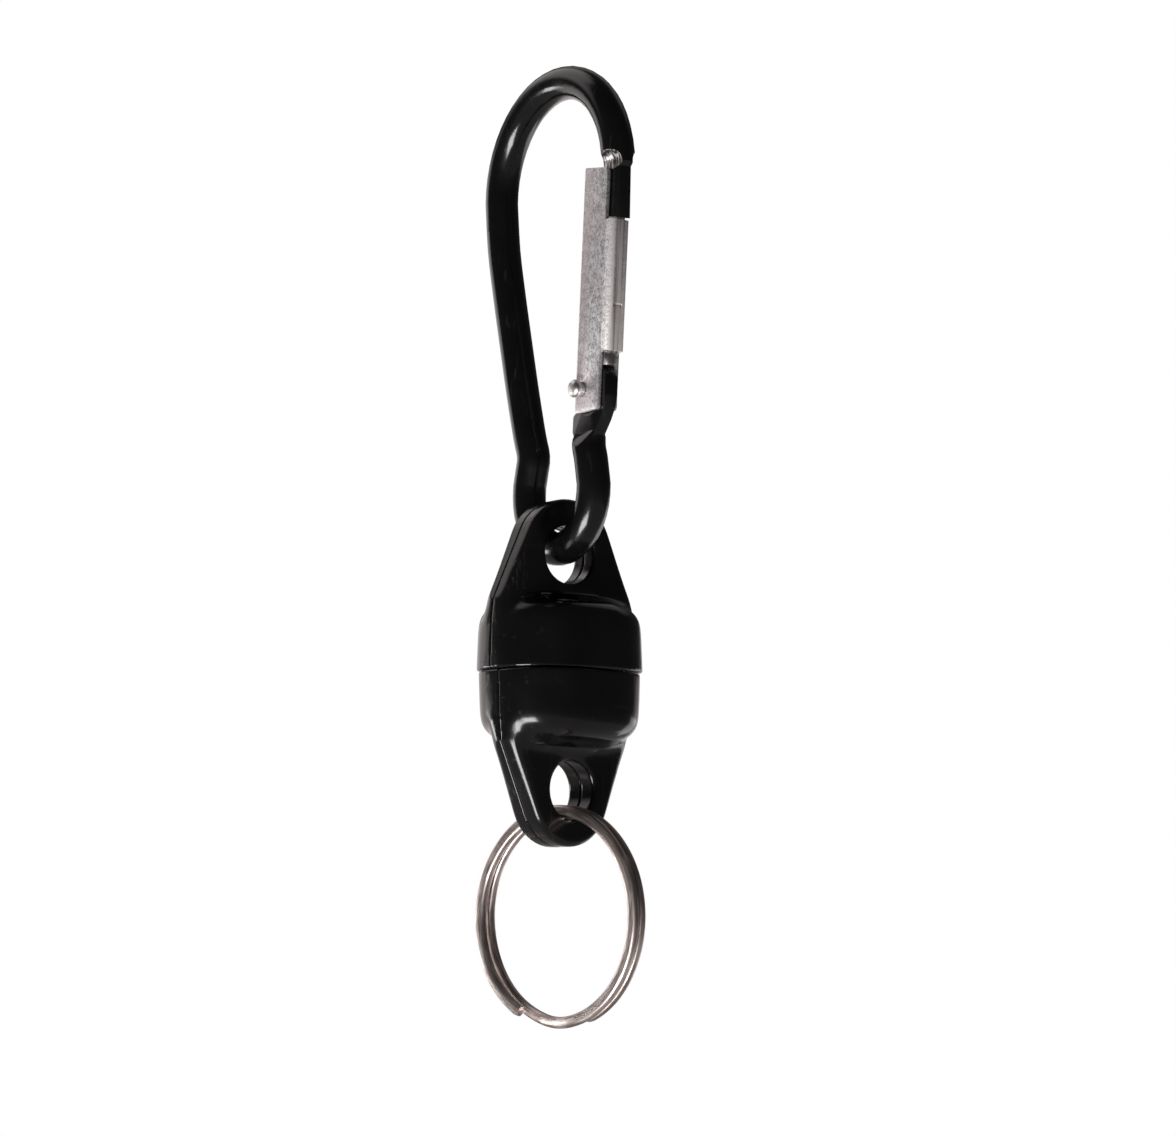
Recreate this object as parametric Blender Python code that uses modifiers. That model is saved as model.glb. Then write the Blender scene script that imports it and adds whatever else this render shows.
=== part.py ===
"""Magnetic quick-release keyring: a snap carabiner, a two-part magnetic clip and a split ring,
hanging in one straight line. +Z is up and the origin is where the carabiner's bow hangs, at the
top of its inside. The carabiner lies in the YZ plane with its gate towards -Y, and the clip is seen
face-on from -Y. Sizes are in millimetres, drawn from the parting face of the clip as z = 0, and the
frame that holds every part brings them to the origin in metres."""

import bmesh
import bpy
import math
from mathutils import Matrix, Vector

MM = 0.001

# Carabiner rod, drawn by its centreline in the YZ plane
ROD_R = 2.35
BOW_Y, BOW_Z, BOW_R = 0.45, 68.9, 14.5
EYE_Y, EYE_Z, EYE_R = -0.25, 25.15, 7.9
SPINE = [(14.3, 62.0), (12.95, 55.4), (11.15, 47.7), (9.3, 40.2), (7.6, 34.0), (6.6, 31.0), (6.95, 29.0)]
WAIST = [(-7.5, 29.0), (-7.0, 30.9), (-7.25, 33.0)]
NOSE_FOOT = (-13.45, 60.0)
TONGUE_END = [(-10.5, 62.35), (-17.0, 61.0)]
TONGUE_HALF = 0.9
SCOOP_Z, SCOOP_R = 69.2, 1.6
NOSE_STEP_Z = 69.4

# Gate, in its own frame: s runs outwards from the pivot, t runs up along the gate
PIVOT_Y, PIVOT_Z = -7.6, 38.5
GATE_LEAN = math.radians(4.4)
GATE_HALF = 1.65
SHEET = 0.55
GATE_IN, GATE_OUT = -1.45, 5.35
WEB_CORNER = 0.85
FLANK_CUT = 3.9
GATE_TOP_OUT, GATE_TOP_IN = 30.4, 30.85
WEB_LOW, WEB_HIGH = 5.15, 23.2
FOOT_IN, FOOT_OUT = -3.3, -2.85
DENT_T = 11.4
PIN_R, PIN_HALF = 1.0, 3.4
PIN_HEAD_R = 1.25
RUNNING = 0.05

# Tang that the gate turns on
TANG_HALF = 0.95
TANG_TOP = 3.1
TANG_IN, TANG_OUT = -1.35, 4.85
PRESS_LOW, PRESS_HIGH = 30.2, 32.7

# Plunger and spring inside the gate
PLUNGER_HALF = 0.95
PLUNGER_GAP = 0.12
PLUNGER_TALL = 3.0
SPRING_S = 2.7
SPRING_R, SPRING_WIRE = 0.72, 0.17
SPRING_TURNS = 5

# Each half of the magnetic clip
BODY_W, BODY_T = 11.6, 8.8
TAB_T = 2.65
TAB_R, TAB_C = 7.2, 16.85
TAB_FOOT_W, TAB_FOOT_Z = 11.1, 9.75
FOOT_TO_CENTRE = TAB_C - TAB_FOOT_Z
FOOT_AWAY = math.hypot(TAB_FOOT_W, FOOT_TO_CENTRE)
TAB_TAPER = math.atan2(TAB_FOOT_W, FOOT_TO_CENTRE) - math.asin(TAB_R / FOOT_AWAY)
HOLE_R, HOLE_Z = 4.05, 16.25
FACE_GAP = 0.05
SEAM_GAP = 0.03
LOWER_YAW = math.radians(9.0)

# Pot magnets: z is measured up from the parting face of the upper half
CUP_R, CUP_WALL = 7.0, 1.0
FLANGE_R, FLANGE_LOW, FLANGE_TOP = 7.9, 5.0, 6.0
MAGNET_R = 5.9
CUP_RECESS = 0.75
CUP_PROUD = 0.6
POST_R = 0.8
POSTS = [(9.45, 3.4, 2.6), (-9.45, 3.4, 2.6), (0.0, 22.15, 1.5)]

# Split ring
RING_R, RING_RADIAL, RING_AXIAL = 15.25, 1.6, 1.2
RING_GAP = 0.05
RING_Z = -33.5
RING_YAW = math.radians(2.0)
RING_END = math.radians(22.5)
RING_SPIN = math.radians(3.1)
RING_SPLAY = 0.7


def collection(name, hidden=False):
    made = bpy.data.collections.new(name)
    bpy.context.scene.collection.children.link(made)
    made.hide_render = hidden
    return made


for old in list(bpy.data.objects):
    bpy.data.objects.remove(old, do_unlink=True)
PARTS = collection("magnetic_carabiner_keyring")
CUTTERS = collection("cutters", hidden=True)
HANG = bpy.data.objects.new("hang_point", None)
PARTS.objects.link(HANG)
HANG.location = Vector((0, -BOW_Y, -(BOW_Z + BOW_R - ROD_R))) * MM
HANG.empty_display_size = 0.005


def paint(name, colour, metallic, roughness, coat=0.0):
    mat = bpy.data.materials.new(name)
    mat.use_nodes = True
    shader = mat.node_tree.nodes["Principled BSDF"]
    shader.inputs["Base Color"].default_value = (*colour, 1.0)
    shader.inputs["Metallic"].default_value = metallic
    shader.inputs["Roughness"].default_value = roughness
    shader.inputs["Coat Weight"].default_value = coat
    mat.diffuse_color = (*colour, 1.0)
    return mat


def add(name, mesh, mat=None, parent=None):
    """A mesh object: a part when it has a material, a hidden cutter when it has none."""
    obj = bpy.data.objects.new(name, mesh)
    if mat:
        PARTS.objects.link(obj)
        obj.data.materials.append(mat)
    else:
        CUTTERS.objects.link(obj)
        obj.hide_render = True
        obj.display_type = "WIRE"
    obj.parent = parent or HANG
    return obj


def empty(name, place, rotation=(0.0, 0.0, 0.0), parent=None):
    obj = bpy.data.objects.new(name, None)
    PARTS.objects.link(obj)
    obj.location = Vector(place) * MM
    obj.rotation_euler = rotation
    obj.empty_display_size = 0.004
    obj.parent = parent or HANG
    return obj


def mesh_from(name, points, faces):
    mesh = bpy.data.meshes.new(name)
    mesh.from_pydata([Vector(p) * MM for p in points], [], faces)
    cage = bmesh.new()
    cage.from_mesh(mesh)
    bmesh.ops.remove_doubles(cage, verts=cage.verts, dist=1e-8)
    bmesh.ops.recalc_face_normals(cage, faces=cage.faces)
    cage.to_mesh(mesh)
    cage.free()
    return mesh


def loft(name, rings):
    """A closed skin through rings that all hold the same number of points."""
    count = len(rings[0])
    points = [p for ring in rings for p in ring]
    faces = [list(range(count)), [count * (len(rings) - 1) + i for i in range(count)]]
    for level in range(len(rings) - 1):
        for i in range(count):
            a, b = count * level + i, count * level + (i + 1) % count
            faces.append((a, b, b + count, a + count))
    return mesh_from(name, points, faces)


def lathe(name, profile, place, axis="Z", steps=44):
    """Turns (radius, height) pairs, listed from the foot of the axis to its head, about the axis."""
    rings = []
    for radius, height in profile:
        ring = []
        for i in range(steps):
            a = 2 * math.pi * i / steps
            x, y, z = radius * math.cos(a), radius * math.sin(a), height
            ring.append({"X": (z, x, y), "Y": (y, z, x), "Z": (x, y, z)}[axis])
        rings.append([Vector(p) + Vector(place) for p in ring])
    return loft(name, rings)


def prism(name, outline, low, high, axis="X"):
    """An outline of two coordinates pushed along the third, which runs from low to high."""
    rings = []
    for level in (low, high):
        if axis == "X":
            rings.append([(level, a, b) for a, b in outline])
        elif axis == "Y":
            rings.append([(a, level, b) for a, b in outline])
        else:
            rings.append([(a, b, level) for a, b in outline])
    return loft(name, rings)


def rounded(corners, steps=5):
    """An outline with its corners rounded. Each corner is (a, b, radius)."""
    out = []
    for i, (a, b, radius) in enumerate(corners):
        here = Vector((a, b))
        before = Vector(corners[i - 1][:2]) - here
        after = Vector(corners[(i + 1) % len(corners)][:2]) - here
        if radius <= 0:
            out.append(tuple(here))
            continue
        before.normalize()
        after.normalize()
        half = before.angle(after) / 2
        start = here + before * radius / math.tan(half)
        end = here + after * radius / math.tan(half)
        centre = here + (before + after).normalized() * radius / math.sin(half)
        first = math.atan2(*(start - centre).yx)
        turn = (math.atan2(*(end - centre).yx) - first + math.pi) % (2 * math.pi) - math.pi
        for k in range(steps + 1):
            angle = first + turn * k / steps
            out.append((centre.x + radius * math.cos(angle), centre.y + radius * math.sin(angle)))
    return out


def combine(obj, other, operation):
    """Joins, cuts or intersects obj with another mesh object that stands in the same frame."""
    step = obj.modifiers.new(operation.lower() + "_" + other.name, "BOOLEAN")
    step.operation = operation
    step.solver = "EXACT"
    step.object = other
    return obj


def smooth(obj, degrees=32.0):
    """Applies what has been built up so far and shades the round faces smooth."""
    bpy.context.view_layer.update()
    mesh = bpy.data.meshes.new_from_object(obj.evaluated_get(bpy.context.evaluated_depsgraph_get()))
    mats = list(obj.data.materials)
    obj.modifiers.clear()
    obj.data = mesh
    obj.data.materials.clear()
    for mat in mats:
        obj.data.materials.append(mat)
    for face in mesh.polygons:
        face.material_index = 0
    mesh.shade_smooth()
    mesh.set_sharp_from_angle(angle=math.radians(degrees))
    return obj


def cutter(name, mesh, parent=None):
    return add("cut_" + name, mesh, parent=parent)


def spline_points(knots, per_span):
    """Points along a smooth curve that passes through every knot."""
    out = []
    for i in range(len(knots) - 1):
        p0, p1 = Vector(knots[max(i - 1, 0)]), Vector(knots[i])
        p2, p3 = Vector(knots[i + 1]), Vector(knots[min(i + 2, len(knots) - 1)])
        for k in range(per_span):
            t = k / per_span
            a = 2 * p1
            b = (p2 - p0) * t
            c = (2 * p0 - 5 * p1 + 4 * p2 - p3) * t * t
            d = (3 * p1 - p0 - 3 * p2 + p3) * t**3
            out.append(tuple((a + b + c + d) / 2))
    return out + [tuple(knots[-1])]


def arc(cy, cz, radius, first, last, steps):
    turn = math.radians(last - first)
    start = math.radians(first)
    return [
        (cy + radius * math.cos(start + turn * i / steps), cz + radius * math.sin(start + turn * i / steps))
        for i in range(steps + 1)
    ]


def tube(name, points, radius, sides):
    """A round rod along a path, from a bevelled curve with filled ends, as a closed mesh."""
    curve = bpy.data.curves.new(name, "CURVE")
    curve.dimensions = "3D"
    curve.bevel_depth = radius * MM
    curve.bevel_resolution = (sides - 4) // 2
    curve.use_fill_caps = True
    curve.twist_mode = "MINIMUM"
    line = curve.splines.new("POLY")
    line.points.add(len(points) - 1)
    for spot, p in zip(line.points, points):
        spot.co = (*(Vector(p) * MM), 1.0)
    holder = bpy.data.objects.new(name + "_path", curve)
    CUTTERS.objects.link(holder)
    bpy.context.view_layer.update()
    mesh = bpy.data.meshes.new_from_object(holder.evaluated_get(bpy.context.evaluated_depsgraph_get()))
    bpy.data.objects.remove(holder)
    bpy.data.curves.remove(curve)
    cage = bmesh.new()
    cage.from_mesh(mesh)
    bmesh.ops.remove_doubles(cage, verts=cage.verts, dist=1e-6)
    bmesh.ops.recalc_face_normals(cage, faces=cage.faces)
    cage.to_mesh(mesh)
    cage.free()
    return mesh


BLACK_ROD = paint("black_anodised_aluminium", (0.012, 0.012, 0.014), 0.6, 0.32, 0.3)
BARE = paint("bare_aluminium", (0.78, 0.78, 0.80), 1.0, 0.35)
STEEL = paint("steel", (0.52, 0.52, 0.54), 1.0, 0.3)
PLASTIC = paint("gloss_black_plastic", (0.01, 0.01, 0.011), 0.0, 0.16)
MAGNET = paint("plated_magnet", (0.66, 0.65, 0.63), 1.0, 0.22)
CUP = paint("plated_cup", (0.58, 0.58, 0.57), 1.0, 0.28)
NICKEL = paint("nickel_plated_steel", (0.68, 0.63, 0.60), 1.0, 0.2)


def side(outline):
    """(s, t) pairs as the gate frame's (y, z) pairs, where y points inwards."""
    return [(-point[0], *point[1:]) for point in outline]


# ---- Carabiner body ----
pivot = empty("gate_pivot_axis", (0, PIVOT_Y, PIVOT_Z), (GATE_LEAN, 0, 0))

path = [NOSE_FOOT, (-13.85, 65.2)]
path += arc(BOW_Y, BOW_Z, BOW_R, 180, 0, 26)
path += spline_points([path[-1]] + SPINE + [(EYE_Y + EYE_R - 0.1, 26.8)], 3)[1:]
path += arc(EYE_Y, EYE_Z, EYE_R, 2, -182, 20)
path += spline_points([path[-1]] + WAIST, 3)[1:]
body = add("carabiner_body", tube("rod", [(0, y, z) for y, z in path], ROD_R, 22), BLACK_ROD)

scoops = []
for way in (-1, 1):
    outline = [(way * 6, 50), (way * TONGUE_HALF, 50), (way * TONGUE_HALF, SCOOP_Z)]
    for k in range(1, 7):
        turn = math.radians(15 * k)
        across = TONGUE_HALF + SCOOP_R * (1 - math.cos(turn))
        outline.append((way * across, SCOOP_Z + SCOOP_R * math.sin(turn)))
    outline.append((way * 6, SCOOP_Z + SCOOP_R))
    scoop = cutter("nose_side_%d" % (way + 1), prism("scoop", outline, -30, -9, "Y"))
    combine(body, scoop, "DIFFERENCE")
step_top = [(-15.75, NOSE_STEP_Z - 0.9), (-16.6, NOSE_STEP_Z), (-20, NOSE_STEP_Z + 0.6)]
step_outline = step_top + [(-20, 50), (-15.1, 50)]
combine(body, cutter("nose_step", prism("step", step_outline, -4, 4)), "DIFFERENCE")
end_outline = [TONGUE_END[0], TONGUE_END[1], (-17.0, 57.0), (-10.5, 57.0)]
combine(body, cutter("tongue_end", prism("end", end_outline, -4, 4)), "DIFFERENCE")

for way in (-1, 1):
    # The rod's end is pressed flat: this wedge runs from its round side to the tang's face.
    outline = [(TANG_HALF, PRESS_HIGH + 6), (TANG_HALF, PRESS_HIGH)]
    outline += [(1.5, PRESS_HIGH - 0.75), (2.6, PRESS_LOW)]
    outline += [(6, PRESS_LOW), (6, PRESS_HIGH + 6)]
    wedge = prism("wedge", [(way * x, z) for x, z in outline], -12, -2, "Y")
    combine(body, cutter("press_%d" % (way + 1), wedge), "DIFFERENCE")

tang = [
    (TANG_IN, TANG_TOP, 0.15),
    (3.7, TANG_TOP, 1.4),
    (TANG_OUT, 1.5, 0.8),
    (TANG_OUT, -0.9, 1.2),
    (4.5, -2.6, 1.0),
    (3.7, -4.2, 1.0),
    (2.3, -6.2, 0.8),
    (0.9, -7.6, 0.4),
    (-1.7, -7.6, 0.3),
    (-2.75, -5.8, 0.5),
    (-2.75, -3.6, 0.5),
    (TANG_IN - 0.1, -2.6, 0.4),
]
tang_mesh = prism("tang", side(rounded(tang, 3)), -TANG_HALF, TANG_HALF)
pivot_place = Matrix.Translation(Vector((0, PIVOT_Y, PIVOT_Z)) * MM)
tang_mesh.transform(pivot_place @ Matrix.Rotation(GATE_LEAN, 4, "X"))
combine(body, cutter("tang", tang_mesh), "UNION")
bore = lathe("bore", [(PIN_R + 0.02, -4), (PIN_R + 0.02, 4)], (0, PIVOT_Y, PIVOT_Z), "X", 32)
combine(body, cutter("tang_bore", bore), "DIFFERENCE")
smooth(body)

pin_end = [(0.55, PIN_HALF), (0.98, PIN_HALF - 0.13)]
pin_end += [(PIN_HEAD_R, PIN_HALF - 0.5), (PIN_HEAD_R - 0.05, PIN_HALF - 0.85)]
pin_end += [(PIN_R, PIN_HALF - 1.15)]
pin_profile = [(r, -x) for r, x in pin_end] + list(reversed(pin_end))
pin = add("gate_pivot_pin", lathe("pin", pin_profile, (0, PIVOT_Y, PIVOT_Z), "X", 32), STEEL)
smooth(pin)

# ---- Gate: a folded sheet channel, open on its inner side ----
channel = rounded(
    [
        (-GATE_HALF, -GATE_IN, 0.08),
        (-GATE_HALF, -GATE_OUT, WEB_CORNER),
        (GATE_HALF, -GATE_OUT, WEB_CORNER),
        (GATE_HALF, -GATE_IN, 0.08),
    ],
    5,
)
gate = add("gate", prism("gate", channel, -6, GATE_TOP_IN + 2, "Z"), BARE, pivot)
inner_half = GATE_HALF - SHEET
inside = rounded(
    [
        (-inner_half, 4, 0),
        (-inner_half, -GATE_OUT + SHEET, 0.25),
        (inner_half, -GATE_OUT + SHEET, 0.25),
        (inner_half, 4, 0),
    ],
    3,
)
combine(gate, cutter("gate_inside", prism("inside", inside, -9, GATE_TOP_IN + 4, "Z"), pivot), "DIFFERENCE")
sides = rounded(
    [
        (GATE_IN, FOOT_IN, 0.5),
        (FLANK_CUT, FOOT_OUT, 0.5),
        (FLANK_CUT, WEB_LOW, 0.3),
        (GATE_OUT + 1, WEB_LOW, 0),
        (GATE_OUT + 1, WEB_HIGH, 0),
        (FLANK_CUT, WEB_HIGH, 0.3),
        (FLANK_CUT, GATE_TOP_OUT, 0.8),
        (GATE_IN, GATE_TOP_IN, 0.3),
    ],
    4,
)
combine(gate, cutter("gate_sides", prism("sides", side(sides), -5, 5), pivot), "INTERSECT")
hole = lathe("hole", [(PIN_R + RUNNING, -5), (PIN_R + RUNNING, 5)], (0, 0, 0), "X", 32)
combine(gate, cutter("gate_hole", hole, pivot), "DIFFERENCE")
stop_foot, stop_tip = GATE_OUT - SHEET + 0.2, 2.6
stop = [(stop_foot, DENT_T - 0.9), (stop_tip, DENT_T - 0.25)]
stop += [(stop_tip, DENT_T + 0.25), (stop_foot, DENT_T + 0.9)]
combine(gate, cutter("gate_stop", prism("stop", side(stop), -0.95, 0.95), pivot), "UNION")
dent = [(GATE_OUT + 0.5, DENT_T - 0.7), (GATE_OUT - 0.35, DENT_T), (GATE_OUT + 0.5, DENT_T + 0.7)]
combine(gate, cutter("gate_dent", prism("dent", side(dent), -0.75, 0.75), pivot), "DIFFERENCE")
smooth(gate)

# ---- Plunger and its spring, inside the gate ----
plunger_low = TANG_TOP + PLUNGER_GAP
plunger_high = plunger_low + PLUNGER_TALL
block = [(-PLUNGER_HALF, 0.7), (PLUNGER_HALF, 0.7)]
for k in range(0, 13):
    angle = math.radians(-15 * k)
    block.append((PLUNGER_HALF * math.cos(angle), -3.75 + PLUNGER_HALF * math.sin(angle)))
plunger = add("gate_plunger", prism("plunger", block, plunger_low, plunger_high, "Z"), STEEL, pivot)
stem_r = SPRING_R - SPRING_WIRE - 0.08
stem_profile = [(stem_r, plunger_low + 1), (stem_r, plunger_high + 1.4), (stem_r - 0.15, plunger_high + 1.6)]
stem = lathe("stem", stem_profile, (0, -SPRING_S, 0), "Z", 20)
combine(plunger, cutter("plunger_stem", stem, pivot), "UNION")
smooth(plunger)

spring_low = plunger_high + SPRING_WIRE + 0.04
spring_high = DENT_T - 0.85 - SPRING_WIRE
coil = []
for k in range(SPRING_TURNS * 12 + 1):
    share = k / (SPRING_TURNS * 12)
    angle = 2 * math.pi * SPRING_TURNS * share
    across = SPRING_R * math.cos(angle), SPRING_R * math.sin(angle) - SPRING_S
    coil.append((*across, spring_low + (spring_high - spring_low) * share))
spring = add("gate_spring", tube("coil", coil, SPRING_WIRE, 6), STEEL, pivot)
smooth(spring)


# ---- Magnetic clip ----
def oval(half_x, half_y, power, z, count=52):
    """A rounded rectangle between an ellipse and a box, as power rises from 2."""
    ring = []
    for i in range(count):
        a = 2 * math.pi * i / count
        c, s = math.cos(a), math.sin(a)
        x = math.copysign(abs(c) ** (2 / power), c) * half_x
        y = math.copysign(abs(s) ** (2 / power), s) * half_y
        ring.append((x, y, z))
    return ring


def clip_half(name, way, frame, proud):
    """Front and back shells, magnet and cup. way is +1 for the upper half and -1 for the lower."""
    levels = [
        (FACE_GAP, BODY_W - 0.2, BODY_T - 0.2, 2.6),
        (FACE_GAP + 0.2, BODY_W, BODY_T, 2.6),
        (3.4, BODY_W - 0.06, BODY_T - 0.05, 2.6),
        (6.4, BODY_W - 0.2, BODY_T - 0.15, 2.6),
        (7.45, BODY_W - 0.48, BODY_T - 0.32, 2.6),
        (8.3, BODY_W - 0.98, BODY_T - 0.65, 2.6),
        (8.9, BODY_W - 1.6, BODY_T - 1.1, 2.6),
        (9.35, BODY_W - 2.3, BODY_T - 1.75, 2.6),
        (9.6, BODY_W - 2.95, BODY_T - 2.5, 2.6),
        (9.85, BODY_W - 3.5, 4.75, 2.7),
        (10.15, BODY_W - 4.1, 3.85, 2.8),
        (10.6, BODY_W - 4.8, 3.2, 3.0),
        (11.2, BODY_W - 5.4, 2.8, 3.3),
        (12.1, BODY_W - 6.2, 2.3, 3.6),
    ]
    rings = [oval(w, t, n, way * z) for z, w, t, n in levels]
    outline = [(TAB_FOOT_W + 0.1, 4.0), (TAB_FOOT_W + 0.3, 6.9), (TAB_FOOT_W, TAB_FOOT_Z)]
    for k in range(19):
        angle = TAB_TAPER + (math.pi - 2 * TAB_TAPER) * k / 18
        outline.append((TAB_R * math.cos(angle), TAB_C + TAB_R * math.sin(angle)))
    outline += [(-x, z) for x, z in reversed(outline[:3])]
    slab = prism("tab", [(x, way * z) for x, z in outline], -TAB_T, TAB_T, "Y")
    tab = cutter(name + "_tab", slab, frame)
    edge = tab.modifiers.new("round_edges", "BEVEL")
    edge.width = 0.8 * MM
    edge.segments = 3
    edge.limit_method = "ANGLE"
    edge.angle_limit = math.radians(60)

    flare = [(HOLE_R + 1.1, -TAB_T - 0.6), (HOLE_R + 0.5, -TAB_T - 0.01), (HOLE_R + 0.2, -TAB_T + 0.1),
             (HOLE_R + 0.05, -TAB_T + 0.27), (HOLE_R, -TAB_T + 0.5)]
    flare += [(r, -y) for r, y in reversed(flare)]
    bore = cutter(name + "_bore", lathe("bore", flare, (0, 0, way * HOLE_Z), "Y", 48), frame)
    # The half whose pot is sunk has a wider mouth, which lets the other half's proud pot in.
    pocket_r, ledge = CUP_R + 0.06, FLANGE_LOW - 0.06
    if proud:
        pocket = [(pocket_r, -2), (pocket_r, ledge)]
    else:
        mouth, mouth_depth = CUP_R + 0.25, CUP_RECESS + 0.1
        pocket = [(mouth, -2), (mouth, mouth_depth), (pocket_r, mouth_depth), (pocket_r, ledge)]
    pocket += [(FLANGE_R + 0.1, ledge), (FLANGE_R + 0.1, FLANGE_TOP + 0.06)]
    room_mesh = lathe("pocket", [(r, way * z) for r, z in pocket], (0, 0, 0), "Z", 48)
    room = cutter(name + "_pocket", room_mesh, frame)

    for face, sign in (("front", -1), ("back", 1)):
        shell = add(name + "_shell_" + face, loft("shell", rings), PLASTIC, frame)
        combine(shell, tab, "UNION")
        combine(shell, bore, "DIFFERENCE")
        combine(shell, room, "DIFFERENCE")
        near, far = sorted((sign * SEAM_GAP, sign * 20))
        keep = prism("keep", [(-20, near), (20, near), (20, far), (-20, far)], -40, 40, "Z")
        combine(shell, cutter(name + "_keep_" + face, keep, frame), "INTERSECT")
        for i, (x, z, reach) in enumerate(POSTS):
            if face == "back":
                profile = [(POST_R - 0.1, -reach), (POST_R, -reach + 0.15), (POST_R, 1.0)]
                post = lathe("post", profile, (x, 0, way * z), "Y", 20)
                combine(shell, cutter("%s_post_%d" % (name, i), post, frame), "UNION")
            else:
                profile = [(POST_R + 0.06, -reach - 0.2), (POST_R + 0.06, 1.0)]
                socket = lathe("socket", profile, (x, 0, way * z), "Y", 20)
                combine(shell, cutter("%s_socket_%d" % (name, i), socket, frame), "DIFFERENCE")
        smooth(shell)

    lip = -CUP_PROUD if proud else CUP_RECESS
    well = FLANGE_TOP - 1.2
    outer = [(CUP_R - CUP_WALL, lip), (CUP_R - 0.15, lip), (CUP_R, lip + 0.15), (CUP_R, FLANGE_LOW),
             (FLANGE_R, FLANGE_LOW), (FLANGE_R, FLANGE_TOP)]
    inner = [(CUP_R - CUP_WALL, lip - 1), (CUP_R - CUP_WALL, well)]
    cup = add(name + "_magnet_cup", lathe("cup", [(r, way * z) for r, z in outer], (0, 0, 0)), CUP, frame)
    well_mesh = lathe("well", [(r, way * z) for r, z in inner], (0, 0, 0))
    combine(cup, cutter(name + "_cup_well", well_mesh, frame), "DIFFERENCE")
    smooth(cup)
    low, high = lip + 0.08, well - 0.04
    disc = [(MAGNET_R - 0.2, low), (MAGNET_R, low + 0.2), (MAGNET_R, high - 0.2), (MAGNET_R - 0.2, high)]
    magnet_mesh = lathe("magnet", [(r, way * z) for r, z in disc], (0, 0, 0))
    magnet = add(name + "_magnet", magnet_mesh, MAGNET, frame)
    smooth(magnet)


upper_frame = empty("upper_half_frame", (0, 0, 0))
lower_frame = empty("lower_half_frame", (0, 0, 0), (0, 0, LOWER_YAW))
clip_half("upper", 1, upper_frame, False)
clip_half("lower", -1, lower_frame, True)

# ---- Split ring: two flat coils joined by one crossing at the bottom ----
ring_frame = empty("ring_frame", (0, 0, RING_Z), (0, 0, RING_YAW), lower_frame)
mean_r = RING_R - RING_RADIAL / 2
offset = (RING_AXIAL + RING_GAP) / 2
section = rounded(
    [
        (-RING_AXIAL / 2, -RING_RADIAL / 2, 0.48),
        (RING_AXIAL / 2, -RING_RADIAL / 2, 0.48),
        (RING_AXIAL / 2, RING_RADIAL / 2, 0.48),
        (-RING_AXIAL / 2, RING_RADIAL / 2, 0.48),
    ],
    2,
)
stations = 112
sweep_start = -RING_END
sweep_total = -(4 * math.pi - 2 * RING_END)
rings = []
for k in range(stations + 1):
    along = sweep_start + sweep_total * k / stations
    # The crossing runs from the right of the bottom to its left, after one whole turn less the gap.
    cross = (-(along + 2 * math.pi) + RING_END - math.radians(2.5)) / (2 * RING_END - math.radians(5))
    cross = min(max(cross, 0.0), 1.0)
    side_x = -offset + 2 * offset * cross * cross * (3 - 2 * cross)
    # The first coil's free end has been sprung a little away from its neighbour by use.
    free = min(max(1 - (sweep_start - along) / math.radians(150), 0.0), 1.0)
    side_x -= RING_SPLAY * free * free * (3 - 2 * free)
    ring = []
    for across, out in section:
        radius = mean_r + out
        spun = along - RING_SPIN
        ring.append((side_x + across, -radius * math.sin(spun), -radius * math.cos(spun)))
    rings.append(ring)
split_ring = add("split_ring", loft("ring", rings), NICKEL, ring_frame)
smooth(split_ring)
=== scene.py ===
"""Looks for the magnetic quick-release carabiner keyring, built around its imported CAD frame."""

import math

import bmesh
import bpy
import numpy as np
from mathutils import Matrix, Vector


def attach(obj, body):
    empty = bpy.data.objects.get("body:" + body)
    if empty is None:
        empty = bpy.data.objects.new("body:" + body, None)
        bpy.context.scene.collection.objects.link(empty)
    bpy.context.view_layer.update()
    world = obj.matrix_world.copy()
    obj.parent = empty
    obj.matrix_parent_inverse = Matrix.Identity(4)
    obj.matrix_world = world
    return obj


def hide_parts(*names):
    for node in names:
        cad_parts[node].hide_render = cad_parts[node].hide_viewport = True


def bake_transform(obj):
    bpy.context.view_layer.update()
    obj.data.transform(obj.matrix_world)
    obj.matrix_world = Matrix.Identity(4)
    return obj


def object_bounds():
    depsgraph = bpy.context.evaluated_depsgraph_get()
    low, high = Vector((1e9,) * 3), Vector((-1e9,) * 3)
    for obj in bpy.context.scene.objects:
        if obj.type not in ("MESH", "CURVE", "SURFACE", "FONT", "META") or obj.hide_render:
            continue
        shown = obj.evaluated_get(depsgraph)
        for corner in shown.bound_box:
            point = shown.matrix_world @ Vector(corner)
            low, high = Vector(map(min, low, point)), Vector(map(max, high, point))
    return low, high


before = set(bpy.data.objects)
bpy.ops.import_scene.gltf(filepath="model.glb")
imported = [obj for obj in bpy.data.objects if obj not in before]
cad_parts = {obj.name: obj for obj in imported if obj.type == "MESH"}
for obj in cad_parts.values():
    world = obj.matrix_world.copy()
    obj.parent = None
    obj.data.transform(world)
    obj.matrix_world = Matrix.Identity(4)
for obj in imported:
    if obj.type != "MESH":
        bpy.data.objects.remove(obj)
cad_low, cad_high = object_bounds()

MM = 0.001
PART_TO_ORIGIN = Vector((0.0, -0.45, -81.05)) * MM  # from the clip's parting face to the hang point
GATE_LEAN = math.radians(4.4)
LOWER_YAW = math.radians(9.0)
RING_YAW = math.radians(11.0)
AZIMUTH, LIFT = math.radians(35.0), math.radians(6.5)
AIM_RIGHT, AIM_UP = 3.889 * MM, 14.6 * MM  # what the camera looks at, from the clip's parting face
CAMERA_AWAY = 0.440
SENSOR, FOCUS_WIDTHS = 36.0, 3168 / 1176  # the focal length, in widths of the picture
scene = bpy.context.scene


def place(x, y, z, turn=None):
    """A frame at a point measured in millimetres from the clip's parting face."""
    spot = Matrix.Translation(Vector((x, y, z)) * MM + PART_TO_ORIGIN)
    return spot @ turn if turn else spot


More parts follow.
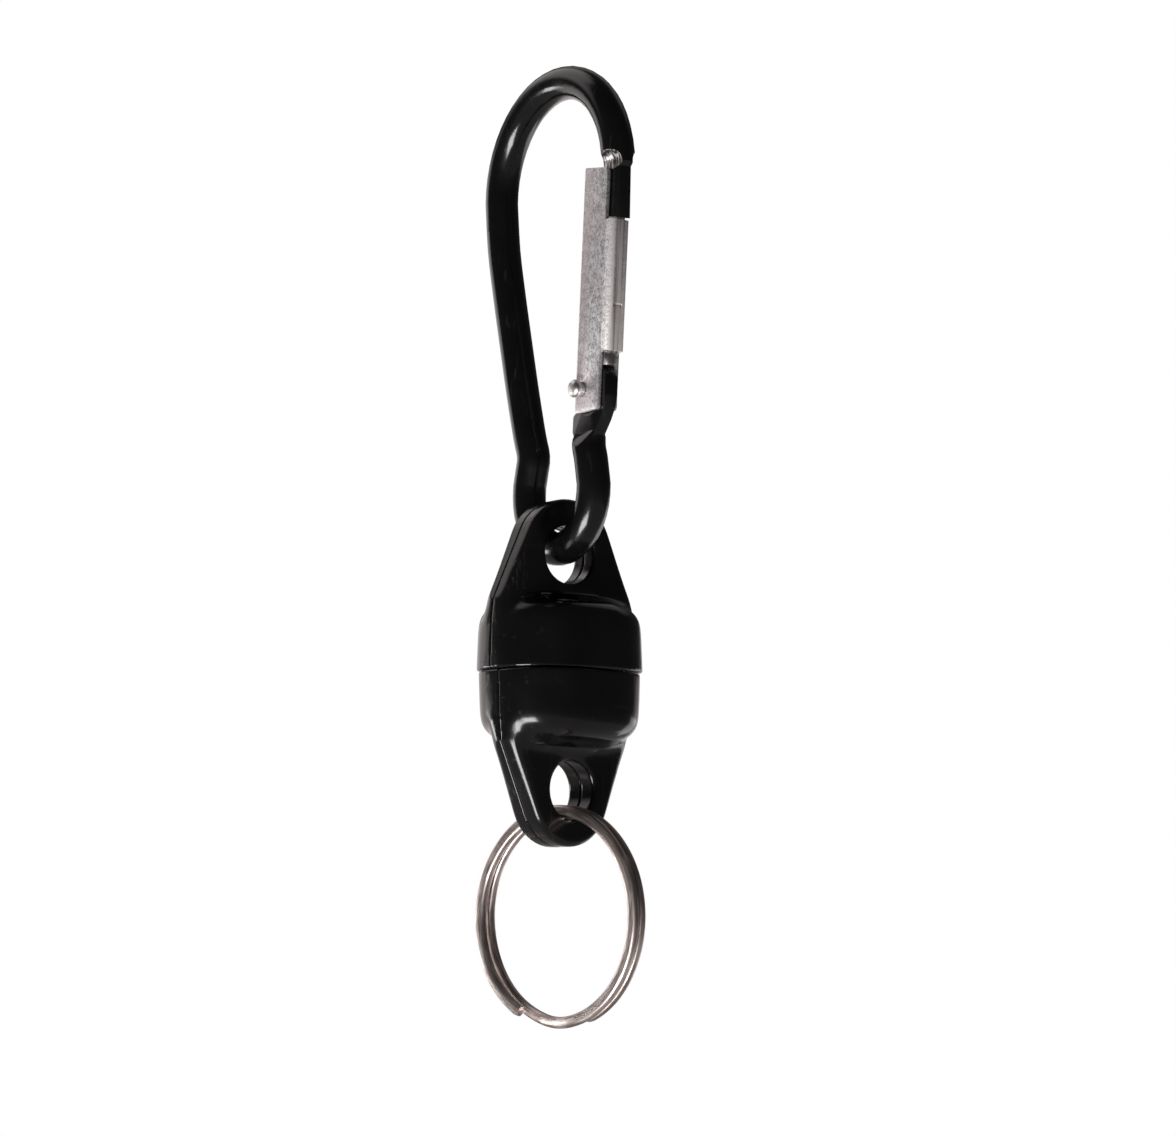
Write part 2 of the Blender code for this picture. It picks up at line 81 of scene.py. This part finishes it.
# Local frames: the clip's halves, the gate at its pivot, the ring and the bow.
UPPER = place(0, 0, 0)
LOWER = place(0, 0, 0, Matrix.Rotation(LOWER_YAW, 4, "Z"))
GATE = place(0, -7.6, 38.5, Matrix.Rotation(GATE_LEAN, 4, "X"))
RING = place(0, 0, -33.5, Matrix.Rotation(RING_YAW, 4, "Z"))
BOW = place(0, 0.45, 68.9)
WEB_FACE = -0.0049  # depth of the gate's outer face in its own frame

# ---------------------------------------------------------------- camera
forward = Vector((math.sin(AZIMUTH) * math.cos(LIFT), math.cos(AZIMUTH) * math.cos(LIFT), math.sin(LIFT)))
right = Vector((math.cos(AZIMUTH), -math.sin(AZIMUTH), 0.0))
target = PART_TO_ORIGIN + right * AIM_RIGHT + Vector((0, 0, AIM_UP))
camera_data = bpy.data.cameras.new("camera")
camera = bpy.data.objects.new("camera", camera_data)
scene.collection.objects.link(camera)
camera.location = target - forward * CAMERA_AWAY
camera.rotation_euler = forward.to_track_quat("-Z", "Y").to_euler()
camera_data.sensor_width = SENSOR
camera_data.lens = SENSOR * FOCUS_WIDTHS
camera_data.clip_start, camera_data.clip_end = 0.01, 20.0
scene.camera = camera


# ---------------------------------------------------------------- shader helpers
class Nodes:
    """Short calls for building a shader tree."""

    def __init__(self, tree):
        self.tree = tree

    def node(self, kind, **settings):
        made = self.tree.nodes.new(kind)
        for key, value in settings.items():
            setattr(made, key, value)
        return made

    def link(self, source, sink):
        self.tree.links.new(source, sink)
        return source

    def math(self, operation, a, b=None):
        """A number worked out from one or two numbers or sockets."""
        made = self.node("ShaderNodeMath", operation=operation)
        for socket, value in zip(made.inputs, (a, b)):
            if value is None:
                continue
            if isinstance(value, (int, float)):
                socket.default_value = value
            else:
                self.link(value, socket)
        return made.outputs["Value"]

    def span(self, value, low, high, out_low=0.0, out_high=1.0):
        """A smooth step: out_low where value is under low, out_high where it is over high."""
        made = self.node("ShaderNodeMapRange", interpolation_type="SMOOTHSTEP")
        limits = {"From Min": low, "From Max": high, "To Min": out_low, "To Max": out_high}
        for socket, number in limits.items():
            made.inputs[socket].default_value = number
        self.link(value, made.inputs["Value"])
        return made.outputs["Result"]

    def blend(self, share, a, b):
        """A colour between a and b."""
        made = self.node("ShaderNodeMix", data_type="RGBA")
        self.link(share, made.inputs[0])
        for socket, value in ((made.inputs[6], a), (made.inputs[7], b)):
            if isinstance(value, tuple):
                socket.default_value = (*value, 1.0)
            else:
                self.link(value, socket)
        return made.outputs[2]


class Paint(Nodes):
    """A material with a Principled surface, drawn in the coordinates of a local frame."""

    def __init__(self, name, colour, metallic, roughness, local=None, **sockets):
        self.mat = bpy.data.materials.new(name)
        self.mat.use_nodes = True
        super().__init__(self.mat.node_tree)
        self.shader = self.tree.nodes["Principled BSDF"]
        self.set("Base Color", (*colour, 1.0))
        self.set("Metallic", metallic)
        self.set("Roughness", roughness)
        for socket, value in sockets.items():
            self.set(socket.replace("_", " "), value)
        self.coords = self.node("ShaderNodeTexCoord").outputs["Object"]
        if local:
            spot, turn, _ = local.inverted().decompose()
            moved = self.node("ShaderNodeMapping")
            moved.inputs["Location"].default_value = spot
            moved.inputs["Rotation"].default_value = turn.to_euler()
            self.link(self.coords, moved.inputs["Vector"])
            self.coords = moved.outputs["Vector"]

    def set(self, socket, value):
        self.shader.inputs[socket].default_value = value

    def drive(self, socket, source):
        self.link(source, self.shader.inputs[socket])

    def stretch(self, scale):
        """Coordinates in which a pattern is drawn out along the axes with a small scale."""
        made = self.node("ShaderNodeMapping")
        made.inputs["Scale"].default_value = scale
        self.link(self.coords, made.inputs["Vector"])
        return made.outputs["Vector"]

    def noise(self, scale, detail=3.0, rough=0.5, coords=None, distortion=0.0):
        """A soft random pattern about a half; scale is in cells per metre."""
        made = self.node("ShaderNodeTexNoise")
        made.inputs["Scale"].default_value = scale
        made.inputs["Detail"].default_value = detail
        made.inputs["Roughness"].default_value = rough
        made.inputs["Distortion"].default_value = distortion
        self.link(coords or self.coords, made.inputs["Vector"])
        return made.outputs["Fac"]

    def cells(self, scale):
        """The distance to the nearest of many scattered points."""
        made = self.node("ShaderNodeTexVoronoi")
        made.inputs["Scale"].default_value = scale
        self.link(self.coords, made.inputs["Vector"])
        return made.outputs["Distance"]

    def apart(self):
        """The x, y and z of a point."""
        made = self.node("ShaderNodeSeparateXYZ")
        self.link(self.coords, made.inputs["Vector"])
        return made.outputs["X"], made.outputs["Y"], made.outputs["Z"]

    def together(self, x, y, z):
        """A point from its x, y and z; None stands for nought."""
        made = self.node("ShaderNodeCombineXYZ")
        for source, sink in ((x, "X"), (y, "Y"), (z, "Z")):
            if source:
                self.link(source, made.inputs[sink])
        return made.outputs["Vector"]

    def bump(self, layers):
        """Layers are (height, depth in millimetres), from the coarsest to the finest."""
        normal = None
        for height, depth in layers:
            made = self.node("ShaderNodeBump")
            made.inputs["Strength"].default_value = 1.0
            made.inputs["Distance"].default_value = depth * MM
            self.link(height, made.inputs["Height"])
            if normal:
                self.link(normal, made.inputs["Normal"])
            normal = made.outputs["Normal"]
        self.link(normal, self.shader.inputs["Normal"])


def black_anodised():
    """Gloss black anodised rod: a faint drawn grain, rubbed spots, hairlines and dust."""
    p = Paint("black_anodised", (0.004, 0.004, 0.0042), 0.0, 0.16)
    broad = p.noise(160.0, 4.0, 0.6)
    fine = p.noise(3800.0, 2.0, 0.5)
    scratch = p.noise(900.0, 2.0, 0.7, p.stretch((1.0, 1.0, 0.06)))
    rubbed = p.span(scratch, 0.62, 0.74)
    specks = p.span(p.cells(1300.0), 0.02, 0.05, 1.0, 0.0)
    dust = p.math("MULTIPLY", specks, p.span(broad, 0.52, 0.7))
    tone = p.blend(p.span(broad, 0.3, 0.75), (0.003, 0.003, 0.0032), (0.006, 0.0056, 0.0058))
    tone = p.blend(p.math("MULTIPLY", rubbed, 0.25), tone, (0.05, 0.047, 0.046))
    tone = p.blend(p.math("MULTIPLY", dust, 0.6), tone, (0.3, 0.29, 0.28))
    p.drive("Base Color", tone)
    rough = p.math("ADD", p.span(broad, 0.3, 0.7, 0.13, 0.22), p.math("MULTIPLY", rubbed, 0.12))
    p.drive("Roughness", rough)
    p.bump([(broad, 0.012), (fine, 0.0006), (dust, 0.01)])
    return p.mat


def milled_bare():
    """Where the cutter went through the black: bright metal with the cutter's marks down it."""
    p = Paint("milled_bare_metal", (0.62, 0.6, 0.6), 0.85, 0.34)
    lines = p.noise(3000.0, 2.0, 0.6, p.stretch((1.0, 1.0, 0.05)))
    patch = p.noise(900.0, 3.0, 0.6)
    tone = p.blend(p.span(lines, 0.42, 0.56), (0.05, 0.045, 0.045), (0.66, 0.63, 0.62))
    tone = p.blend(p.span(patch, 0.58, 0.78, 0.0, 0.7), tone, (0.12, 0.11, 0.11))
    p.drive("Base Color", tone)
    p.drive("Roughness", p.span(patch, 0.3, 0.7, 0.26, 0.44))
    p.bump([(lines, 0.008), (patch, 0.002)])
    return p.mat


def bare_aluminium():
    """Tumbled aluminium sheet: a sparkling frosted grain, drawn lines down the web, and a painted highlight
    along the web's rounded bend.
    """
    p = Paint("tumbled_aluminium", (0.8, 0.79, 0.79), 1.0, 0.4, GATE)
    grain = p.noise(3300.0, 3.0, 0.75)
    mottle = p.noise(1100.0, 4.0, 0.7)
    broad = p.noise(150.0, 2.0, 0.5)
    flake = p.cells(4200.0)
    x, y, _ = p.apart()
    on_web = p.span(y, WEB_FACE - 0.0002, WEB_FACE + 0.0005, 1.0, 0.0)
    # The web's rounded bend: a mask for a painted highlight in the colour, and for more roughness.
    corner = p.span(y, WEB_FACE + 0.0003, WEB_FACE + 0.0009, 1.0, 0.0)
    corner = p.math("MULTIPLY", corner, p.span(p.math("ABSOLUTE", x), 0.0004, 0.0009))
    drawn = p.noise(2300.0, 2.0, 0.55, p.stretch((1.0, 0.25, 0.02)))
    tone = p.blend(p.span(grain, 0.43, 0.57), (0.48, 0.45, 0.46), (1.0, 0.98, 1.0))
    tone = p.blend(p.span(mottle, 0.48, 0.62, 0.0, 0.7), tone, (1.0, 0.99, 1.0))
    tone = p.blend(p.span(flake, 0.15, 0.4, 0.22, 0.0), tone, (0.42, 0.39, 0.4))
    rim = p.math("MAXIMUM", p.span(y, -0.0014, 0.0002), p.span(y, -0.0052, -0.0042, 1.0, 0.0))
    warm = p.math("MAXIMUM", p.math("MULTIPLY", rim, 0.5), p.span(broad, 0.45, 0.65, 0.0, 0.3))
    tone = p.blend(warm, tone, (0.72, 0.6, 0.61))
    shiny = p.span(y, WEB_FACE, WEB_FACE + 0.0012, 1.0, 0.0)
    lined = p.blend(p.span(drawn, 0.38, 0.6), (0.4, 0.34, 0.34), (0.99, 0.93, 0.92))
    # Painted highlight: the base colour is lifted nearly to white along the bend, in grainy streaks.
    bright = p.math("MULTIPLY", corner, p.span(grain, 0.42, 0.55, 0.4, 1.0))
    lined = p.blend(bright, lined, (1.0, 0.97, 0.96))
    p.drive("Base Color", p.blend(p.math("MULTIPLY", on_web, 0.9), tone, lined))
    p.drive("Metallic", p.span(shiny, 0.0, 1.0, 0.74, 0.5))
    rough = p.math("ADD", p.span(mottle, 0.3, 0.7, 0.36, 0.5), p.math("MULTIPLY", corner, 0.2))
    p.drive("Roughness", rough)
    height = p.math("ADD", p.math("MULTIPLY", drawn, on_web), grain)
    p.bump([(mottle, 0.006), (height, 0.01)])
    return p.mat


def steel(name, colour, roughness):
    """Bare steel with a faint mottle and fine marks."""
    p = Paint(name, colour, 1.0, roughness)
    marks = p.noise(2500.0, 3.0, 0.6)
    broad = p.noise(500.0, 3.0, 0.6)
    dark, light = (tuple(min(c * share, 1.0) for c in colour) for share in (0.72, 1.15))
    p.drive("Base Color", p.blend(p.span(broad, 0.35, 0.65), dark, light))
    p.drive("Roughness", p.span(broad, 0.3, 0.7, roughness - 0.06, roughness + 0.1))
    p.bump([(broad, 0.004), (marks, 0.0015)])
    return p.mat


def turned_plate(name, colour, roughness):
    """Plated discs and pots with fine turning rings round their own axis."""
    p = Paint(name, colour, 1.0, roughness, UPPER)
    x, y, z = p.apart()
    radius = p.math("SQRT", p.math("ADD", p.math("MULTIPLY", x, x), p.math("MULTIPLY", y, y)))
    rings = p.noise(6000.0, 2.0, 0.6, p.together(radius, None, p.math("MULTIPLY", z, 0.4)))
    broad = p.noise(300.0, 3.0, 0.6)
    p.drive("Base Color", p.blend(p.span(broad, 0.35, 0.7), colour, tuple(c * 0.8 for c in colour)))
    p.drive("Roughness", p.span(rings, 0.3, 0.7, roughness - 0.05, roughness + 0.08))
    p.bump([(broad, 0.004), (rings, 0.001)])
    return p.mat


def gloss_plastic():
    """Gloss black moulding: flow waviness, hairline scratches, scuffed flanks and a little dust."""
    p = Paint("gloss_black_plastic", (0.004, 0.004, 0.0042), 0.0, 0.12, UPPER, IOR=1.5)
    x, _, z = p.apart()
    broad = p.noise(110.0, 3.0, 0.55)
    flow = p.noise(420.0, 2.0, 0.5, p.stretch((1.0, 1.0, 0.5)))
    hair_a = p.noise(700.0, 1.0, 0.4, p.stretch((1.0, 1.0, 0.03)), 0.4)
    hair_b = p.noise(900.0, 1.0, 0.4, p.stretch((0.04, 1.0, 1.0)), 0.3)
    hairs = p.math("MAXIMUM", p.span(hair_a, 0.68, 0.72), p.span(hair_b, 0.7, 0.74))
    flank = p.math("MULTIPLY", p.span(p.math("ABSOLUTE", x), 0.0068, 0.0082), p.span(broad, 0.42, 0.6))
    rubs = p.noise(2600.0, 3.0, 0.7, p.stretch((1.0, 1.0, 0.16)), 0.6)
    scuff = p.math("MULTIPLY", flank, p.span(rubs, 0.5, 0.7))
    scuff = p.math("MULTIPLY", scuff, p.span(p.math("ABSOLUTE", z), 0.009, 0.012))
    specks = p.span(p.cells(900.0), 0.018, 0.045, 1.0, 0.0)
    dust = p.math("MULTIPLY", specks, p.span(broad, 0.5, 0.66))
    tone = p.blend(p.span(broad, 0.35, 0.7), (0.0034, 0.0034, 0.0036), (0.006, 0.0056, 0.0058))
    tone = p.blend(p.math("MULTIPLY", scuff, 0.5), tone, (0.06, 0.055, 0.054))
    tone = p.blend(p.math("MULTIPLY", dust, 0.5), tone, (0.35, 0.34, 0.33))
    p.drive("Base Color", tone)
    worn = p.math("MAXIMUM", p.math("MULTIPLY", hairs, 0.14), p.math("MULTIPLY", scuff, 0.3))
    p.drive("Roughness", p.math("ADD", p.span(broad, 0.3, 0.72, 0.15, 0.23), worn))
    p.bump([(broad, 0.01), (flow, 0.003), (hairs, 0.0012), (scuff, 0.003), (dust, 0.008)])
    return p.mat


def nickel():
    """Nickel plate over drawn spring wire: fine lines that follow the wire round the ring."""
    p = Paint("nickel_wire", (0.62, 0.545, 0.515), 1.0, 0.22, RING)
    x, y, z = p.apart()
    radius = p.math("SQRT", p.math("ADD", p.math("MULTIPLY", y, y), p.math("MULTIPLY", z, z)))
    turn = p.math("MULTIPLY", p.math("ARCTAN2", y, z), 0.0012)
    along = p.together(radius, turn, x)
    lines = p.noise(2800.0, 1.0, 0.5, along)
    hairs = p.noise(6500.0, 2.0, 0.6, along)
    patch = p.noise(1100.0, 3.0, 0.6, along)
    broad = p.noise(240.0, 3.0, 0.6)
    tone = p.blend(p.span(broad, 0.32, 0.68), (0.68, 0.59, 0.55), (0.9, 0.81, 0.775))
    tone = p.blend(p.span(lines, 0.4, 0.62, 0.72, 0.0), tone, (0.33, 0.26, 0.24))
    tone = p.blend(p.span(patch, 0.52, 0.7, 0.0, 0.45), tone, (0.26, 0.205, 0.19))
    p.drive("Base Color", tone)
    p.drive("Roughness", p.span(patch, 0.3, 0.7, 0.33, 0.45))
    p.bump([(broad, 0.003), (hairs, 0.0008)])
    return p.mat


ANODISED = black_anodised()
MILLED = milled_bare()
ALUMINIUM = bare_aluminium()
STEEL = steel("pin_steel", (0.86, 0.83, 0.82), 0.36)
SPRING_STEEL = steel("spring_steel", (0.5, 0.49, 0.48), 0.3)
PLASTIC = gloss_plastic()
CUP = turned_plate("plated_pot", (0.6, 0.59, 0.58), 0.25)
MAGNET = turned_plate("plated_magnet", (0.7, 0.68, 0.65), 0.2)
NICKEL = nickel()


# ---------------------------------------------------------------- pieces
def cage_of(node, local):
    """The CAD node's shape as an editable mesh in a local frame, its coincident points joined."""
    cage = bmesh.new()
    cage.from_mesh(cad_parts[node].data)
    bmesh.ops.remove_doubles(cage, verts=cage.verts, dist=2e-7)
    bmesh.ops.dissolve_degenerate(cage, edges=cage.edges, dist=1e-8)
    cage.transform(local.inverted())
    return cage


def finish_piece(name, cage, node, body, local, mats, degrees=32.0):
    """Puts a cage in place as a piece that stands for a CAD node; degrees is where its shading breaks."""
    mesh = bpy.data.meshes.new(name)
    cage.transform(local)
    cage.to_mesh(mesh)
    cage.free()
    for mat in mats:
        mesh.materials.append(mat)
    mesh.shade_smooth()
    if degrees:
        mesh.set_sharp_from_angle(angle=math.radians(degrees))
    piece = bpy.data.objects.new(name, mesh)
    scene.collection.objects.link(piece)
    if body:
        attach(piece, body)
    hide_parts(node)
    return piece


def soften(cage, width, degrees, segments=2, where=None):
    """Rounds the sharp edges so that they catch the light."""
    bmesh.ops.dissolve_limit(cage, angle_limit=math.radians(0.3), verts=cage.verts, edges=cage.edges)
    limit = math.radians(degrees)
    edges = []
    for edge in cage.edges:
        if len(edge.link_faces) != 2 or edge.calc_face_angle() < limit:
            continue
        if where and not where((edge.verts[0].co + edge.verts[1].co) / 2):
            continue
        edges.append(edge)
    bmesh.ops.bevel(cage, geom=edges, offset=width * MM, offset_type="OFFSET", segments=segments,
                    profile=0.5, affect="EDGES", clamp_overlap=True)
    bmesh.ops.triangulate(cage, faces=[f for f in cage.faces if len(f.verts) > 4])


def remeshed(cage, voxel):
    """The cage rebuilt on an even grid."""
    mesh = bpy.data.meshes.new("passing")
    cage.to_mesh(mesh)
    cage.free()
    passing = bpy.data.objects.new("passing", mesh)
    scene.collection.objects.link(passing)
    step = passing.modifiers.new("remesh", "REMESH")
    step.mode = "VOXEL"
    step.voxel_size = voxel
    bpy.context.view_layer.update()
    done = bpy.data.meshes.new_from_object(passing.evaluated_get(bpy.context.evaluated_depsgraph_get()))
    bpy.data.objects.remove(passing)
    bpy.data.meshes.remove(mesh)
    made = bmesh.new()
    made.from_mesh(done)
    bpy.data.meshes.remove(done)
    return made


def relaxed(cage, weights, factors):
    """Moves each point towards the middle of its neighbours, by its weight times each factor in turn.

    A negative factor swells what the one before shrank, so a pair of them smooths and keeps the size."""
    cage.verts.index_update()
    spots = np.array([vert.co for vert in cage.verts])
    ends = np.array([[vert.index for vert in edge.verts] for edge in cage.edges])
    share = np.array([[weights(vert.co)] for vert in cage.verts])
    neighbours = np.bincount(ends.ravel(), minlength=len(spots))
    for factor in factors:
        total = np.zeros_like(spots)
        for axis in range(3):
            for here, there in ((0, 1), (1, 0)):
                total[:, axis] += np.bincount(
                    ends[:, here], weights=spots[ends[:, there], axis], minlength=len(spots))
        spots += factor * share * (total / neighbours[:, None] - spots)
    for vert, spot in zip(cage.verts, spots):
        vert.co = spot


def ramp(value, low, high):
    """Goes smoothly from 0 at low to 1 at high."""
    share = min(max((value - low) / (high - low), 0.0), 1.0)
    return share * share * (3 - 2 * share)


def split_ring():
    """Two coils of wire and their crossing at the bottom, swept finely along the CAD's own path."""
    # Millimetres: the ring's outer radius, the wire's section and its corner, the gap between the coils,
    # and how far the first end is sprung aside.
    outer, radial, axial, corner, gap, splay = 15.25, 1.6, 1.2, 0.48, 0.05, 0.7
    end, spin = math.radians(22.5), math.radians(3.1)
    start, total = -end, -(4 * math.pi - 2 * end)
    offset = (axial + gap) / 2
    crossing = end - math.radians(2.5)
    stations = 480
    # The wire's section is a rectangle with rounded corners.
    section = []
    for quarter in range(4):
        for k in range(5):
            angle = math.radians(90 * quarter + 22.5 * k)
            flat_x = (axial / 2 - corner) * (1 if quarter in (0, 3) else -1)
            flat_r = (radial / 2 - corner) * (1 if quarter < 2 else -1)
            section.append((flat_x + corner * math.cos(angle), flat_r + corner * math.sin(angle)))
    cage = bmesh.new()
    rings = []
    for k in range(stations + 1):
        along = start + total * k / stations
        side = -offset + 2 * offset * ramp(-(along + 2 * math.pi), -crossing, crossing)
        side -= splay * ramp(along, start - math.radians(150), start)
        spun = along - spin
        # The cut ends are eased, as they are after the wire is sheared.
        ease = 1 - 0.14 * ramp(1.0 - min(k, stations - k) / 2, 0.0, 1.0)
        ring = []
        for across, out in section:
            radius = outer - radial / 2 + out * ease
            spot = Vector((side + across * ease, -radius * math.sin(spun), -radius * math.cos(spun)))
            ring.append(cage.verts.new(spot * MM))
        rings.append(ring)
    count = len(section)
    for one, two in zip(rings, rings[1:]):
        for i in range(count):
            j = (i + 1) % count
            cage.faces.new((one[i], one[j], two[j], two[i]))
    for cap in (rings[0], rings[-1]):
        cage.faces.new(cap)
    bmesh.ops.recalc_face_normals(cage, faces=cage.faces)
    finish_piece("split_ring_wire", cage, "split_ring", "split_ring", RING, [NICKEL], 50.0)


def carabiner():
    """The bent rod, with bare metal where the nose was cut, down to a line that slants across the tongue."""
    bow_r, rod_r, slant = 14.5, 2.35, 0.12
    cage = cage_of("carabiner_body", BOW)
    soften(cage, 0.09, 34.0)
    everything = cage.verts[:] + cage.edges[:] + cage.faces[:]
    bmesh.ops.bisect_plane(cage, geom=everything, plane_co=Vector((0, -bow_r, -0.55)) * MM,
                           plane_no=Vector((0, slant, 1)).normalized())
    for face in cage.faces:
        x, y, z = face.calc_center_median() / MM
        depth = rod_r - math.hypot(x, math.hypot(y, z) - bow_r)
        on_cut = depth > 0.07 and abs(x) > 0.8 and abs(face.normal.y) < 0.5
        if y < -10 and -0.6 + slant * (-bow_r - y) < z < 2.4 and on_cut:
            face.material_index = 1
    mats = [ANODISED, MILLED]
    finish_piece("carabiner_rod", cage, "carabiner_body", "carabiner", BOW, mats, 28.0)


def shell(node, body, local):
    """One moulding of the clip, rebuilt on an even grid and smoothed region by region."""
    cage = remeshed(cage_of(node, local), 0.17 * MM)

    def faces(co):
        """Full on the outside, little beside the seams so that their lines stay fine."""
        return 0.1 + 0.9 * ramp(abs(co.y) / MM, 0.1, 0.75) * ramp(abs(co.z) / MM, 0.15, 1.1)

    def bulge(co):
        """The side of the bulge and its shoulder, clear of the parting line."""
        y, z = abs(co.y) / MM, abs(co.z) / MM
        return ramp(y, 1.0, 2.0) * ramp(z, 1.2, 3.0) * (1 - ramp(z, 9.4, 10.2))

    def root(co):
        """The hollow between the bulge and the tab."""
        z = abs(co.z) / MM
        return ramp(z, 8.2, 9.4) * (1 - ramp(z, 12.0, 13.6)) * ramp(abs(co.y) / MM, 2.3, 3.0)

    def edge(co):
        """The tab's long edges, broad where they leave the bulge's corners and finer towards the eye."""
        x, y, z = abs(co.x) / MM, abs(co.y) / MM, abs(co.z) / MM
        return ramp(z, 7.0, 9.2) * (1 - ramp(z, 11.5, 21.0)) * ramp(y, 0.7, 1.7) * ramp(x, 4.2, 6.0)

    relaxed(cage, faces, [0.5] * 3 + [0.5, -0.52] * 12)
    relaxed(cage, bulge, [0.6] * 75)
    relaxed(cage, root, [0.6] * 80)
    relaxed(cage, edge, [0.6] * 110)
    finish_piece(f"{node}_moulding", cage, node, body, local, [PLASTIC], None)


carabiner()
for half, local in (("upper", UPPER), ("lower", LOWER)):
    for face in ("front", "back"):
        shell(f"{half}_shell_{face}", f"{half}_half", local)
    for node, mat, slot in ((f"{half}_magnet_cup", CUP, "cup"), (f"{half}_magnet", MAGNET, "magnet")):
        cage = cage_of(node, local)
        soften(cage, 0.12, 50.0)
        finish_piece(f"{node}_plated", cage, node, f"{half}_half", local, [mat])

cage = cage_of("gate", GATE)
soften(cage, 0.07, 40.0)
finish_piece("gate_sheet", cage, "gate", "gate", GATE, [ALUMINIUM], 30.0)
cage = cage_of("gate_pivot_pin", GATE)
finish_piece("gate_rivet", cage, "gate_pivot_pin", "carabiner", GATE, [STEEL], 50.0)
cage = cage_of("gate_plunger", GATE)
soften(cage, 0.06, 40.0)
finish_piece("gate_plunger_steel", cage, "gate_plunger", "gate_plunger", GATE, [SPRING_STEEL], 40.0)
# The spring's lowest and highest points along the gate's axis are found, and its coil is set in place in the
# world, on no body.
cage = cage_of("gate_spring", GATE)
foot, top = (GATE @ Vector((0, 0, pick(vert.co.z for vert in cage.verts))) for pick in (min, max))
coil = finish_piece("gate_spring_coil", cage, "gate_spring", None, GATE, [SPRING_STEEL], 70.0)
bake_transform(coil)
split_ring()

# ---------------------------------------------------------------- stage
FLOOR_R, FLOOR_DROP = 2.0, 0.5
floor_mesh = bpy.data.meshes.new("floor")
disc = bmesh.new()
bmesh.ops.create_circle(disc, cap_ends=True, radius=FLOOR_R, segments=64,
                        matrix=Matrix.Translation((0, 0, cad_low.z - FLOOR_DROP)))
disc.to_mesh(floor_mesh)
disc.free()
floor = bpy.data.objects.new("floor", floor_mesh)
scene.collection.objects.link(floor)
paint = Paint("pale_floor", (0.8, 0.8, 0.8), 0.0, 0.9)
paint.set("Emission Color", (1.0, 1.0, 1.0, 1.0))
paint.set("Emission Strength", 0.72)
glow = paint.node("ShaderNodeEmission")
glow.inputs["Color"].default_value = (1.0, 0.95, 0.93, 1.0)
glow.inputs["Strength"].default_value = 0.26
either = paint.node("ShaderNodeMixShader")
paint.link(paint.node("ShaderNodeLightPath").outputs["Is Camera Ray"], either.inputs["Fac"])
paint.link(glow.outputs["Emission"], either.inputs[1])
paint.link(paint.shader.outputs["BSDF"], either.inputs[2])
paint.link(either.outputs["Shader"], paint.tree.nodes["Material Output"].inputs["Surface"])
floor_mesh.materials.append(paint.mat)

# Directions in the studio are angles from the camera's own level direction: turn to its right, lift upwards.
ahead = Vector((math.sin(AZIMUTH), math.cos(AZIMUTH), 0.0))
ROOM = 0.05  # what the dark part of the studio gives
WHITE = 1.0
PANELS = [  # turn from, turn to, lift from, lift to, softness of the edges, strength
    (-64, -18, -24, 17, 3.0, 1.2 * WHITE),
    (-20, 26, -24, 9, 3.0, WHITE),
    (26, 46, -7, 3, 6.0, 0.9 * WHITE),
    (-90, -20, 26, 72, 10.0, WHITE),
    (-20, 62, 32, 56, 8.0, 0.3 * WHITE),
]


def studio():
    """A dark room with white panels for reflections, and plain white for the camera."""
    world = bpy.data.worlds.new("studio")
    scene.world = world
    world.use_nodes = True
    w = Nodes(world.node_tree)
    w.tree.nodes.clear()
    look = w.node("ShaderNodeTexCoord").outputs["Generated"]

    def along(direction):
        """The share of the looked-at direction that lies along another."""
        made = w.node("ShaderNodeVectorMath", operation="DOT_PRODUCT")
        made.inputs[1].default_value = direction
        w.link(look, made.inputs[0])
        return made.outputs["Value"]

    turn = w.math("DEGREES", w.math("ARCTAN2", along(right), along(ahead)))
    lift = w.math("DEGREES", w.math("ARCSINE", along((0, 0, 1))))
    level = w.span(lift, -40.0, 10.0, 0.2, ROOM)  # a little light comes up from below
    for turn_low, turn_high, lift_low, lift_high, soft, strength in PANELS:
        inside = strength
        for angle, low, high in ((turn, turn_low, turn_high), (lift, lift_low, lift_high)):
            inside = w.math("MULTIPLY", w.span(angle, low - soft, low + soft), inside)
            inside = w.math("MULTIPLY", w.span(angle, high - soft, high + soft, 1, 0), inside)
        level = w.math("MAXIMUM", level, inside)
    sky, wall = w.node("ShaderNodeBackground"), w.node("ShaderNodeBackground")
    sky.inputs["Color"].default_value = (1.0, 0.94, 0.925, 1.0)
    w.link(level, sky.inputs["Strength"])
    wall.inputs["Color"].default_value = (1.0, 1.0, 1.0, 1.0)
    wall.inputs["Strength"].default_value = 1.0
    choose = w.node("ShaderNodeMixShader")
    w.link(w.node("ShaderNodeLightPath").outputs["Is Camera Ray"], choose.inputs["Fac"])
    w.link(sky.outputs["Background"], choose.inputs[1])
    w.link(wall.outputs["Background"], choose.inputs[2])
    w.link(choose.outputs["Shader"], w.node("ShaderNodeOutputWorld").inputs["Surface"])


def softbox(name, turn, lift, distance, size, radiance):
    """A soft light aimed at the middle of the object."""
    turn, lift = math.radians(turn), math.radians(lift)
    level_way = ahead * math.cos(turn) + right * math.sin(turn)
    middle = (cad_low + cad_high) / 2
    data = bpy.data.lights.new(name, "AREA")
    data.shape = "RECTANGLE"
    data.size, data.size_y = size
    data.energy = radiance * math.pi * size[0] * size[1]
    lamp = bpy.data.objects.new(name, data)
    scene.collection.objects.link(lamp)
    lamp.location = middle + distance * (level_way * math.cos(lift) + Vector((0, 0, math.sin(lift))))
    lamp.rotation_euler = (middle - lamp.location).to_track_quat("-Z", "Y").to_euler()
    lamp.visible_camera = False


studio()
softbox("key", -146, -37, 0.62, (0.34, 0.22), 15.0)
softbox("side", -67, -9, 0.62, (0.13, 0.14), 8.0)
softbox("bounce", 44, -20, 0.62, (0.28, 0.36), 1.3)
scene.view_settings.view_transform = "Standard"
